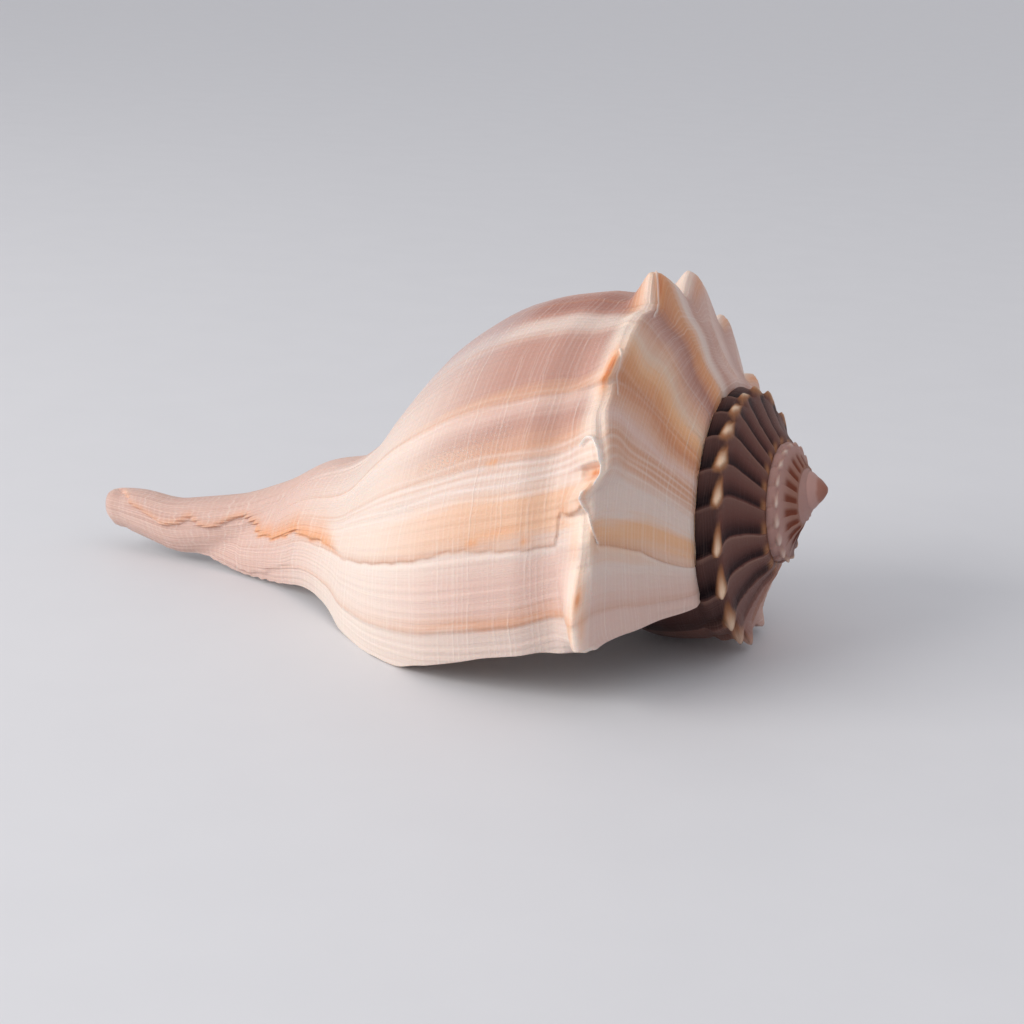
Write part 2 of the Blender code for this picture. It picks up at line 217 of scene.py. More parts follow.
def spine_lift(turn, v):
    turn, v = np.broadcast_arrays(turn, v)
    size = GROWTH_PER_TURN ** turn
    u = np.clip(v / V_SHOULDER, 0, 1)
    smooth_tip = 1 - ease((PLAIN_CONE_TURN + 0.05 - turn) / 0.4)
    dark = ease((-0.62 - turn) / 0.15)
    rib = (RIB_SHARE + (DARK_RIB_SHARE - RIB_SHARE) * dark) * ease((-0.18 - turn) / 0.25)
    rib = rib * np.sin(np.pi * u ** 0.8) ** 0.7
    up, down = [light + (old - light) * dark for light, old in zip(LIGHT_CREST, DARK_CREST)]
    crest = rounded_peak(v - 0.004 * (1 - dark) - V_SHOULDER, up, down, CREST_BLUNTNESS) ** 1.2
    root = ROOT_SHARE * ease((v - V_SHOULDER) / 0.02) * (1 - ease((v - 0.275) / 0.03)) * dark
    grown = growth_turn(turn, v)
    rise = np.zeros(turn.shape)
    lean = np.zeros(turn.shape)
    for place, tall, tilt, blunt in spines():
        past = grown - place
        tip = rounded_peak(past, *SPINE_REACH, blunt) ** 1.3
        knob = rounded_peak(past, *KNOB_REACH, blunt)
        point = tip + (knob - tip) * dark
        panel = run_out(past, PANEL_REACH, (1, 0.8))
        fan = run_out(past, RIB_REACH, (1.1, 1))
        fan = fan + (panel - fan) * dark
        hollow = FOLD_HOLLOW * (1 - dark)
        hollow = hollow * np.clip(1 - abs(past - FOLD_HOLLOW_PLACE) / FOLD_HOLLOW_REACH, 0, 1)
        shape = np.maximum(crest * (point - hollow), np.maximum(rib * fan, root * panel))
        shape = np.where(crest * hollow > crest * point, -crest * hollow, shape)
        shape = np.where(abs(past) < FAR_FROM_SPINE, shape, 0)
        rise += tall * shape * size * smooth_tip
        lean += tilt * np.maximum(shape, 0) * size * smooth_tip
    return rise, lean


# Near the lip the spines are open folds, worn or broken. The newest is a long rounded knob, the next
# two have lost their fronts, and a thin white rim is left standing on the ramp's side: turn, v.
KNOB_LINE = ((-0.050, 0.245), (-0.020, 0.231), (0.004, 0.216))
RIMS = ((((-0.110, 0.246), (-0.1135, 0.238), (-0.112, 0.230), (-0.104, 0.2243), (-0.086, 0.2235)), 0.9),
        (((-0.082, 0.236), (-0.075, 0.2275), (-0.068, 0.2165), (-0.060, 0.205), (-0.0535, 0.192)), 0.55),
        (((-0.172, 0.222), (-0.165, 0.208), (-0.152, 0.194)), 0.3),
        (((-0.270, 0.224), (-0.261, 0.210), (-0.239, 0.193)), 0.4))
RIM_WIDTH_MM = 0.26
KNOB_HALF_WIDTH = 0.026
NEWEST_KNOB_RISE = 2.5
ROUND_MM = 277
DOWN_MM = 118


def beside(turn, v, line):
    nearest = np.full(np.shape(turn + v), 99.0)
    for (turn_a, v_a), (turn_b, v_b) in zip(line, line[1:]):
        run = np.array([(turn_b - turn_a) * ROUND_MM, (v_b - v_a) * DOWN_MM])
        x = (turn - turn_a) * ROUND_MM
        y = (v - v_a) * DOWN_MM
        share = np.clip((x * run[0] + y * run[1]) / (run @ run), 0, 1)
        nearest = np.minimum(nearest, np.hypot(x - share * run[0], y - share * run[1]))
    return nearest


def rim_relief(turn, v):
    relief = np.zeros(np.shape(turn + v))
    for line, tall in RIMS:
        relief = np.maximum(relief, tall * np.exp(-(beside(turn, v, line) / RIM_WIDTH_MM) ** 2))
    return relief


def bump_row(turn, v, middle, half, tall, starts, ends):
    across = np.clip(1 - ((v - middle) / half) ** 2, 0, 1)
    return tall * across * ease((turn - starts[0]) / starts[1]) * (1 - ease((turn - ends[0]) / ends[1]))


def fold_relief(turn, v):
    middle = np.interp(turn, *np.array(KNOB_LINE).T)
    across = np.clip(1 - ((v - middle) / KNOB_HALF_WIDTH) ** 2, 0, 1) ** 0.85
    knob = NEWEST_KNOB_RISE * across * ease((turn + 0.050) / 0.035) * (1 - ease(turn / 0.006))
    blob = bump_row(turn, v, 0.240, 0.022, 0.8, (-0.100, 0.02), (-0.0715, 0.003))
    hood = bump_row(turn, v, 0.240, 0.020, 1.1, (-0.140, 0.035), (-0.099, 0.004))
    hollow = 1.3 * np.clip(1 - ((v - 0.2355) / 0.0115) ** 2, 0, 1) ** 0.6
    hollow = hollow * ease((turn + 0.099) / 0.003) * (1 - ease((turn + 0.093) / 0.006))
    return knob + blob + hood - hollow + rim_relief(turn, v)


# The newest layer ended before the lip: v, turn of its thin edge. It broke away under the second
# spine, which left a gap with a stepped edge.
LAYER_EDGE = ((0.0, -0.050), (0.061, -0.0555), (0.102, -0.061), (0.127, -0.059), (0.190, -0.052),
              (0.205, -0.060), (0.2165, -0.068), (0.2275, -0.0745), (0.235, -0.0715), (0.249, -0.0695),
              (0.257, -0.0725), (0.2635, -0.0735), (0.2655, -0.065), (0.2665, -0.0545), (0.310, -0.058),
              (0.410, -0.068), (0.471, -0.068), (0.556, -0.071), (0.62, -0.074), (1.0, -0.074))
LAYER_STEP = 0.32


def layer_past(turn, v):
    uneven = 0.0005 * np.sin(190 * v) + 0.0003 * np.sin(523 * v + 2)
    return turn - np.interp(v, *np.array(LAYER_EDGE).T) - uneven * ease((v - 0.27) / 0.02)


def layer_relief(turn, v):
    past = layer_past(turn, v)
    fades = (1 - 0.9 * ease((v - 0.55) / 0.08)) * (1 - 0.45 * ease((v - 0.28) / 0.05))
    return LAYER_STEP * (1 - ease((past + 0.0005) / 0.0012)) * ease((past + 0.08) / 0.05) * fades


# Each time the shell stopped growing its lip thickened and left a low ridge, steep on its new side:
# turn, height.
HALTS = ((-0.013, 0.22), (-0.096, 0.1), (-0.101, 0.12), (-0.106, 0.14), (-0.112, 0.22),
         (-0.155, 0.25), (-0.213, 0.15), (-0.262, 0.2), (-0.300, 0.12), (-0.328, 0.2), (-0.365, 0.12),
         (-0.402, 0.2), (-0.440, 0.12), (-0.471, 0.2), (-0.505, 0.12), (-0.537, 0.2), (-0.603, 0.2),
         (-0.669, 0.2), (-0.735, 0.2), (-0.798, 0.2))


def growth_relief(turn, v):
    grown = growth_turn(turn, v)
    size = GROWTH_PER_TURN ** turn
    relief = np.zeros(np.shape(grown))
    on_canal = ease((v - 0.66) / 0.12)
    for place, tall in HALTS:
        past = grown - place
        step = np.where(past < 0, np.clip(1 + past / 0.014, 0, 1) ** 2, np.clip(1 - past / 0.003, 0, 1))
        relief = relief + tall * step * (1 - 0.8 * on_canal)
    seed = np.random.default_rng(7)
    for k in range(26):
        pitch = seed.uniform(60, 210)
        sway = 1.5 * np.sin(seed.uniform(3, 9) * v + seed.uniform(0, 6.3))
        wave = np.sin(2 * np.pi * pitch * grown + seed.uniform(0, 6.3) + sway)
        relief = relief + 0.010 * wave * (1 - 0.6 * on_canal)
    return relief * size * np.clip((1 - v) / 0.1, 0, 1)


# On the canal the newest layers have flaked off and left stepped edges: v, turn of the edge. A small
# block of the old layer is left standing between BLOCK_EDGE and BLOCK_FOOT.
FLAKED_EDGE = ((0.600, -0.074), (0.646, -0.082), (0.70, -0.088), (0.771, -0.101), (0.780, -0.135),
               (0.794, -0.183), (0.809, -0.206), (0.831, -0.169), (0.852, -0.166), (0.872, -0.222),
               (0.887, -0.194), (0.909, -0.183), (0.93, -0.205), (0.953, -0.242), (0.968, -0.34),
               (1.0, -0.50))
BLOCK_EDGE = ((0.60, 0.05), (0.708, 0.05), (0.713, -0.12), (0.800, -0.12), (0.806, 0.05), (1.0, 0.05))
BLOCK_FOOT = ((0.60, -0.020), (0.731, -0.032), (0.760, -0.012), (0.799, -0.005), (1.0, -0.005))
FLAKE_DEPTH = 0.75
BLOCK_SHARE = 0.5
ROUGH_MM = 0.05
WORN_EDGE_MM = 0.12


def flake_edge(v):
    jagged = 0.004 * np.sin(113 * v) + 0.003 * np.sin(271 * v + 1.0)
    return np.interp(v, *np.array(FLAKED_EDGE).T) + jagged * ease((v - 0.64) / 0.05)


def flake_relief(turn, v):
    there = ease((v - 0.605) / 0.03) * (1 - ease((v - 0.975) / 0.02)) * ease((turn + 0.75) / 0.2)
    upper = ease((flake_edge(v) - turn) / 0.004)
    foot = np.interp(v, *np.array(BLOCK_FOOT).T) + 0.004 * np.sin(260 * v)
    block = ease((turn - np.interp(v, *np.array(BLOCK_EDGE).T)) / 0.006) * ease((foot - turn) / 0.006)
    rough = ROUGH_MM * np.sin(97 * turn + 60 * v) * np.sin(300 * v + 40 * turn) * (1 - upper)
    worn = WORN_EDGE_MM * np.sin(210 * turn + 31 * v) * np.sin(420 * v)
    worn = worn * ease((turn + 0.02) / 0.01) * ease((v - 0.7) / 0.03) * (1 - ease((v - 0.84) / 0.04))
    return there * (FLAKE_DEPTH * (np.maximum(upper, BLOCK_SHARE * block) - 1) + rough + worn)


# How the shell lies on the table: the lip's place round the axis, and the fall of the axis.
LIP_ANGLE_DEG = 35.53
AXIS_FALL_DEG = 10.06
BOW_ANGLE_DEG = 74.69
SHELL_MIDDLE = (-65.9885, -6.8218, -28.3565)


def stand(turn, along, radius):
    angle = 2 * math.pi * turn + math.radians(LIP_ANGLE_DEG)
    bow = through(BOW, along)
    side = math.radians(BOW_ANGLE_DEG)
    x = -along
    y = -radius * np.cos(angle) - bow * math.cos(side)
    z = -radius * np.sin(angle) - bow * math.sin(side)
    fall = math.radians(AXIS_FALL_DEG)
    lying = (x * math.cos(fall) - z * math.sin(fall), y, x * math.sin(fall) + z * math.cos(fall))
    return (np.stack(lying, -1) - np.array(SHELL_MIDDLE)) / 1000


def outside(turn, v):
    round_turn = turn + through(LIP, v)
    along, radius = soft_outline(round_turn, v)
    rise, lean = spine_lift(turn, v)
    knob_under, lean_under = spine_lift(turn - 1, np.full_like(v + 0 * turn, V_SEAM))
    rise = rise + knob_under * (1 - ease(v / 0.09))
    relief = growth_relief(turn, v) + fold_relief(turn, v) + layer_relief(turn, v) + flake_relief(turn, v)
    return stand(round_turn, along - lean, radius + rise + relief)


def skin_grid(turns, rows, shape):
    points = shape(to_lip(turns[:, None], rows[None, :]), rows[None, :])
    wide = len(rows)
    col, row = np.meshgrid(np.arange(len(turns) - 1), np.arange(wide - 1), indexing="ij")
    corner = (col * wide + row).ravel()
    faces = np.stack([corner + 1, corner + wide + 1, corner + wide, corner], -1)
    return points.reshape(-1, 3), faces


# Orange stains in the spines' folds and in a few pits: turn, v, half width in each, strength.
STAINS = ((-0.092, 0.2345, 0.005, 0.010, 0.85), (-0.024, 0.222, 0.007, 0.009, 0.75),
          (-0.012, 0.212, 0.009, 0.005, 0.45), (-0.160, 0.228, 0.014, 0.011, 0.95),
          (-0.262, 0.205, 0.012, 0.014, 0.85), (-0.250, 0.245, 0.02, 0.012, 0.5),
          (-0.010, 0.235, 0.010, 0.007, 0.55), (-0.030, 0.225, 0.012, 0.008, 0.35),
          (-0.083, 0.232, 0.012, 0.008, 0.5), (-0.050, 0.240, 0.010, 0.008, 0.3),
          (-0.335, 0.200, 0.010, 0.012, 0.5), (-0.402, 0.210, 0.012, 0.012, 0.6),
          (-0.471, 0.212, 0.014, 0.012, 0.7), (-0.115, 0.364, 0.003, 0.006, 0.7),
          (-0.070, 0.380, 0.0025, 0.006, 0.8), (-0.063, 0.306, 0.0025, 0.005, 0.8),
          (-0.072, 0.345, 0.003, 0.03, 0.35))


# Patches where the surface is worn to white specks, partly painted glints, in the same terms.
WORN_AND_GLINT_PATCHES = ((-0.128, 0.43, 0.012, 0.06, 0.95), (-0.135, 0.37, 0.008, 0.03, 0.6),
        (-0.20, 0.245, 0.02, 0.02, 0.8), (-0.225, 0.255, 0.012, 0.03, 0.6),
        (-0.105, 0.50, 0.006, 0.05, 0.5), (-0.30, 0.50, 0.02, 0.06, 0.5))


def stains(turn, v, places=STAINS):
    amount = np.zeros(np.shape(turn + v))
    for place, down, wide, tall, much in places:
        amount = np.maximum(amount, much * np.exp(-((turn - place) / wide) ** 2 - ((v - down) / tall) ** 2))
    return amount


HALT_DARK = 2.5


def fading(past, before, after):
    return np.where(past < 0, np.exp(np.minimum(past, 0) / before), np.exp(-np.maximum(past, 0) / after))


def halt_lines(turn, v):
    grown = growth_turn(turn, v)
    dark = np.zeros(np.shape(grown))
    for place, tall in HALTS:
        past = grown - place
        dark = dark + HALT_DARK * tall * fading(past, 0.0035, 0.0008)
    past = layer_past(turn, v)
    dark = np.maximum(dark, 0.9 * fading(past, 0.004, 0.0006))
    return np.clip(dark, 0, 1) * (1 - 0.7 * ease((v - 0.62) / 0.15))


PALE_LINES = ((-0.090, 0.5), (-0.0975, 0.7), (-0.103, 0.55), (-0.109, 0.7), (-0.1165, 0.45),
              (-0.153, 0.3), (-0.159, 0.2), (-0.217, 0.3))


def pale_lines(turn, v):
    grown = growth_turn(turn, v)
    pale = 0.45 * np.exp(-((layer_past(turn, v) - 0.0030) / 0.0018) ** 2)
    for place, much in PALE_LINES:
        sway = 0.0012 * np.sin(40 * v + 900 * place)
        pale = np.maximum(pale, much * np.exp(-((grown - place - sway) / 0.0011) ** 2))
    pale = pale * (1 - 0.8 * ease((v - 0.60) / 0.1))
    return np.maximum(0.6 * pale, np.clip(2.2 * rim_relief(turn, v), 0, 1))


def flake_stain(turn, v):
    past = turn - flake_edge(v)
    thick = 0.008 + 0.022 * ease((v - 0.62) / 0.05)
    near = np.where(past < 0, np.exp(-(past / thick) ** 2), np.exp(-(past / 0.004) ** 2))
    where = ease((v - 0.615) / 0.03) * (1 - ease((v - 0.965) / 0.02))
    return near * where * (1 - 0.45 * ease((v - 0.775) / 0.02))


def knob_marks(turn, v):
    grown = growth_turn(turn, v)
    mark = np.zeros(np.shape(grown))
    for k, (place, tall, tilt, blunt) in enumerate(spines()):
        past = grown - place
        grows = np.clip((past + 0.040) / 0.036, 0, 1)
        swell = np.where(past < -0.004, grows, np.clip(1 - (past + 0.004) / 0.013, 0, 1))
        wide = 0.010 + (0.020 + 0.006 * math.sin(5.0 * k)) * grows
        mark = np.maximum(mark, swell ** 0.8 * np.clip(1 - ((v - 0.2195) / wide) ** 2, 0, 1))
    return mark


EXTRA_BEND = ((0, 0.018), (0.05, 0.016), (0.12, 0.0), (0.17, 0.010), (0.22, 0.004), (0.3, 0), (1, 0))


def band_shift(turn, v):
    more_bent = through(EXTRA_BEND, v)
    return -more_bent * ease((-0.13 - turn) / 0.06) * ease((turn + 0.6) / 0.2)


def shell_mesh(name, turns, rows, shape):
    points, faces = skin_grid(turns, rows, shape)
    mesh = bpy.data.meshes.new(name)
    mesh.from_pydata(points.tolist(), [], faces.tolist())
    mesh.validate()
    for face in mesh.polygons:
        face.use_smooth = True
    turn, v = np.broadcast_arrays(to_lip(turns[:, None], rows[None, :]), rows[None, :])
    growth = growth_turn(turn, v) + band_shift(turn, v)
    readings = {"growth": growth, "profile": v, "stain": stains(turn, v),
                "edge": flake_stain(turn, v), "worn": stains(turn, v, WORN_AND_GLINT_PATCHES), "halt": halt_lines(turn, v),
                "pale": pale_lines(turn, v), "knob": knob_marks(turn, v)}
    for label, values in readings.items():
        layer = mesh.attributes.new(label, "FLOAT", "POINT")
        layer.data.foreach_set("value", values.astype(np.float32).ravel())
    piece = bpy.data.objects.new(name, mesh)
    bpy.context.scene.collection.objects.link(piece)
    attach(piece, "root")
    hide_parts("whelk_shell")
    return piece


def add(tree, kind, feeds=(), **choices):
    node = tree.nodes.new(kind)
    for label, value in choices.items():
        setattr(node, label, value)
    for place, value in dict(feeds).items():
        if isinstance(value, bpy.types.NodeSocket):
            tree.links.new(value, node.inputs[place])
        else:
            node.inputs[place].default_value = value
    return node


def reckon(tree, operation, a, b=0.0, c=0.0):
    return add(tree, "ShaderNodeMath", {0: a, 1: b, 2: c}, operation=operation).outputs[0]


def times(tree, *factors):
    product = factors[0]
    for factor in factors[1:]:
        product = reckon(tree, "MULTIPLY", product, factor)
    return product


def between(tree, value, low, high, start=0.0, end=1.0):
    feeds = {"Value": value, "From Min": low, "From Max": high, "To Min": start, "To Max": end}
    return add(tree, "ShaderNodeMapRange", feeds, interpolation_type="SMOOTHSTEP").outputs[0]


def tint(tree, amount, a, b, way="MIX"):
    node = add(tree, "ShaderNodeMix", {"Factor": amount}, data_type="RGBA", blend_type=way)
    for socket, value in ((node.inputs[6], a), (node.inputs[7], b)):
        if isinstance(value, bpy.types.NodeSocket):
            tree.links.new(value, socket)
        else:
            socket.default_value = (*value, 1)
    return node.outputs[2]


def reading(tree, label):
    return add(tree, "ShaderNodeAttribute", attribute_name=label).outputs["Fac"]


def cloud(tree, place, scale, detail=3.0):
    feeds = {"Vector": place, "Scale": scale, "Detail": detail}
    return add(tree, "ShaderNodeTexNoise", feeds).outputs["Fac"]


def spot(tree, x, y, stretch_x=1.0, stretch_y=1.0):
    x = times(tree, x, stretch_x)
    y = times(tree, y, stretch_y)
    return add(tree, "ShaderNodeCombineXYZ", {0: x, 1: y}).outputs[0]


def bands(tree, value, stops):
    node = add(tree, "ShaderNodeValToRGB", {"Fac": value})
    ramp = node.color_ramp
    ramp.elements.remove(ramp.elements[0])
    for k, (place, colour) in enumerate(stops):
        mark = ramp.elements[0] if k == 0 else ramp.elements.new(place)
        mark.position = place
        mark.color = (*colour, 1)
    return node.outputs["Color"]


WHITE = (0.70, 0.56, 0.50)
CREAM = (0.71, 0.51, 0.39)
PINK = (0.68, 0.48, 0.42)
APRICOT = (0.72, 0.45, 0.31)
ORANGE = (0.66, 0.31, 0.15)
GOLD = (0.75, 0.42, 0.23)
TAN = (0.64, 0.37, 0.26)
RUST = (0.55, 0.24, 0.13)
MAUVE = (0.50, 0.28, 0.23)
BROWN = (0.38, 0.17, 0.13)
LILAC = (0.46, 0.36, 0.36)
PLUM = (0.14, 0.07, 0.06)
WORN_AND_GLINT_WHITE = (0.88, 0.82, 0.78)
RIM_WHITE = (0.86, 0.79, 0.75)
SHOULDER_CREAM = (0.90, 0.78, 0.68)
THREAD_WHITE = (0.92, 0.84, 0.78)
THREAD_ON_DARK = (0.24, 0.15, 0.13)
STAIN_ORANGE = (0.74, 0.31, 0.11)
DEEP_STAIN = (0.60, 0.17, 0.045)
FLAKE_ORANGE = (0.76, 0.34, 0.15)
HALT_BROWN = (0.52, 0.24, 0.13)
CANAL_DARK = (0.56, 0.36, 0.31)
CANAL_PALE = (0.76, 0.56, 0.49)
SEAM_AMBER = (0.42, 0.19, 0.09)
KNOB_AMBER = (0.37, 0.17, 0.08)
KNOB_CREAM = (0.80, 0.60, 0.44)
EARLY_KNOB_ROSE = (0.52, 0.35, 0.30)
EARLY_KNOB_CREAM = (0.66, 0.51, 0.45)
EARLY_RAMP = (0.32, 0.16, 0.12)
EARLY_ROSE = (0.43, 0.25, 0.22)
EARLY_BAR = (0.17, 0.034, 0.014)
CONE_ROSE = (0.45, 0.265, 0.235)

# Pigment laid down at the lip as the shell grew: growth turn and colour, on the ramp and on the body.
# The dark whorl's own colours follow the knobs instead.
RAMP_BANDS = ((-1.0, PLUM), (-0.90, PLUM), (-0.83, BROWN), (-0.76, MAUVE), (-0.69, PINK), (-0.63, MAUVE),
              (-0.57, PINK), (-0.50, MAUVE), (-0.43, PINK), (-0.385, MAUVE), (-0.345, PINK),
              (-0.309, MAUVE), (-0.290, WHITE), (-0.272, ORANGE), (-0.258, RUST), (-0.245, BROWN),
              (-0.230, MAUVE), (-0.215, TAN), (-0.200, CREAM), (-0.185, GOLD), (-0.170, ORANGE),
              (-0.155, RUST), (-0.140, TAN), (-0.125, PINK), (-0.110, TAN), (-0.097, TAN),
              (-0.082, WHITE), (-0.067, WHITE), (-0.0575, GOLD), (-0.049, APRICOT), (-0.036, WHITE),
              (-0.018, PINK))
BODY_BANDS = ((-1.0, PLUM), (-0.88, BROWN), (-0.80, MAUVE), (-0.72, LILAC), (-0.64, PINK), (-0.56, MAUVE),
              (-0.48, PINK), (-0.42, MAUVE), (-0.37, PINK), (-0.33, MAUVE), (-0.300, MAUVE),
              (-0.275, BROWN), (-0.252, BROWN), (-0.240, MAUVE), (-0.230, WHITE), (-0.220, WHITE),
              (-0.205, MAUVE), (-0.190, MAUVE), (-0.168, MAUVE), (-0.160, TAN), (-0.150, PINK),
              (-0.135, MAUVE), (-0.120, TAN), (-0.109, WHITE), (-0.096, WHITE), (-0.086, APRICOT),
              (-0.066, APRICOT), (-0.056, WHITE), (-0.042, PINK), (-0.024, PINK), (-0.015, TAN),
              (-0.011, WHITE))
BELLY = (0.80, 0.70, 0.63)


def knob_cycle(tree, growth):
    places = sorted(DARK_KNOBS + HIDDEN_SPINES[-1:])
    span = places[-1] - places[0]
    stops = []
    for place, later in zip(places, places[1:]):
        stops.append(((place - places[0]) / span, (0, 0, 0)))
        stops.append(((later - places[0] - 0.001) / span, (1, 1, 1)))
    far = reckon(tree, "SUBTRACT", growth, places[0])
    dark = bands(tree, reckon(tree, "DIVIDE", far, span), stops)
    early = reckon(tree, "FRACT", reckon(tree, "DIVIDE", far, EARLY_KNOB_STEP))
    is_dark = reckon(tree, "GREATER_THAN", far, 0.0)
    return reckon(tree, "MULTIPLY_ADD", is_dark, reckon(tree, "SUBTRACT", dark, early), early)


# The dark whorl from one knob to the next, on its ramp and below its shoulder: its own dark red-brown,
# with painted light as a light line on the fold's crest and painted shade deepening to nearly black before
# the next fold.
DARK_RAMP_PAINTED_SHADE = ((0.0, (0.23, 0.13, 0.105)), (0.08, (0.17, 0.083, 0.068)), (0.45, (0.125, 0.050, 0.041)),
             (0.72, (0.065, 0.022, 0.019)), (0.90, (0.026, 0.008, 0.009)), (0.98, (0.020, 0.006, 0.007)),
             (1.0, (0.14, 0.08, 0.065)))
DARK_BODY_PAINTED_SHADE = ((0.0, (0.17, 0.095, 0.078)), (0.12, (0.090, 0.042, 0.036)), (0.50, (0.050, 0.020, 0.018)),
             (0.78, (0.014, 0.005, 0.006)), (0.96, (0.009, 0.003, 0.005)), (1.0, (0.10, 0.05, 0.042)))


def dark_colour_and_painted_shade(tree, growth, profile, cycle, knob):
    # The fold cycle's ramps paint light on each crest and shade before the next fold, over the whorl's dark
    # brown.
    ramp = bands(tree, cycle, DARK_RAMP_PAINTED_SHADE)
    body = bands(tree, cycle, DARK_BODY_PAINTED_SHADE)
    old = tint(tree, between(tree, profile, 0.215, 0.235), ramp, body)
    late_in_cycle = between(tree, cycle, 0.35, 0.8, 0.05, 0.75)
    amber_edge = times(tree, between(tree, profile, 0.034, 0.010), late_in_cycle)
    old = tint(tree, amber_edge, old, SEAM_AMBER)
    early = between(tree, growth, -1.62, -1.95)
    bar = times(tree, between(tree, cycle, 0.30, 0.70), between(tree, profile, 0.16, 0.10))
    bar = times(tree, bar, between(tree, profile, 0.005, 0.03))
    pale = tint(tree, between(tree, profile, 0.05, 0.2), EARLY_RAMP, EARLY_ROSE)
    pale = tint(tree, times(tree, bar, 0.9), pale, EARLY_BAR)
    pale = tint(tree, between(tree, growth, -2.50, -2.75), pale, CONE_ROSE)
    old = tint(tree, early, old, pale)
    plain = between(tree, growth, -2.75, -2.50)
    amber = times(tree, plain, between(tree, knob, 0.02, 0.55, 0.0, 0.9))
    core = times(tree, plain, between(tree, knob, 0.40, 1.05))
    old = tint(tree, amber, old, tint(tree, early, KNOB_AMBER, EARLY_KNOB_ROSE))
    return tint(tree, core, old, tint(tree, early, KNOB_CREAM, EARLY_KNOB_CREAM))


def shell_colour(tree):
    growth = reading(tree, "growth")
    profile = reading(tree, "profile")
    round_mm = reckon(tree, "MULTIPLY", growth, ROUND_MM)
    down_mm = reckon(tree, "MULTIPLY", profile, DOWN_MM)
    broad = spot(tree, round_mm, down_mm, 0.05, 0.05)
    drift = reckon(tree, "MULTIPLY", reckon(tree, "SUBTRACT", cloud(tree, broad, 1.5), 0.5), 0.016)
    streak = cloud(tree, spot(tree, round_mm, down_mm, 1.1, 0.04), 1.0, 5.0)
    fine = reckon(tree, "MULTIPLY", reckon(tree, "SUBTRACT", streak, 0.5), 0.014)
    age = reckon(tree, "ADD", reckon(tree, "ADD", growth, 1.0), reckon(tree, "ADD", drift, fine))
    ramp = bands(tree, age, [(place + 1, colour) for place, colour in RAMP_BANDS])
    body = bands(tree, age, [(place + 1, colour) for place, colour in BODY_BANDS])
    towards_lip = between(tree, growth, -0.34, -0.14, 0.35, 0.8)
    pale_by = times(tree, between(tree, profile, 0.36, 0.58), towards_lip)
    low = tint(tree, pale_by, body, BELLY)
    grey_by = times(tree, between(tree, growth, -0.17, -0.24), between(tree, profile, 0.38, 0.45),
                    between(tree, profile, 0.64, 0.52), 0.65)
    low = tint(tree, grey_by, low, LILAC)
    base = tint(tree, between(tree, profile, 0.205, 0.25), ramp, low)
    base = tint(tree, between(tree, profile, 0.62, 0.76), base, PINK)
    canal = tint(tree, between(tree, streak, 0.35, 0.7), CANAL_DARK, CANAL_PALE)
    base = tint(tree, between(tree, profile, 0.74, 0.84), base, canal)
    base = tint(tree, reckon(tree, "MULTIPLY", reading(tree, "edge"), 0.85), base, FLAKE_ORANGE)
    young = between(tree, growth, -0.75, -0.55)
    on_shoulder = times(tree, between(tree, profile, 0.195, 0.222), between(tree, profile, 0.262, 0.232))
    band = times(tree, on_shoulder, young, 0.7)
    base = tint(tree, band, base, SHOULDER_CREAM)
    halt = reckon(tree, "MULTIPLY", reading(tree, "halt"), between(tree, streak, 0.3, 0.6, 0.3, 0.8))
    base = tint(tree, halt, base, HALT_BROWN)
    stain = reading(tree, "stain")
    base = tint(tree, stain, base, STAIN_ORANGE)
    base = tint(tree, between(tree, stain, 0.55, 0.95, 0.0, 0.85), base, DEEP_STAIN)
    base = tint(tree, times(tree, reading(tree, "pale"), 0.8), base, RIM_WHITE)
    old = dark_colour_and_painted_shade(tree, growth, profile, knob_cycle(tree, growth), reading(tree, "knob"))
    is_old = between(tree, growth, -0.72, -0.95)
    return tint(tree, is_old, base, old), is_old, round_mm, down_mm


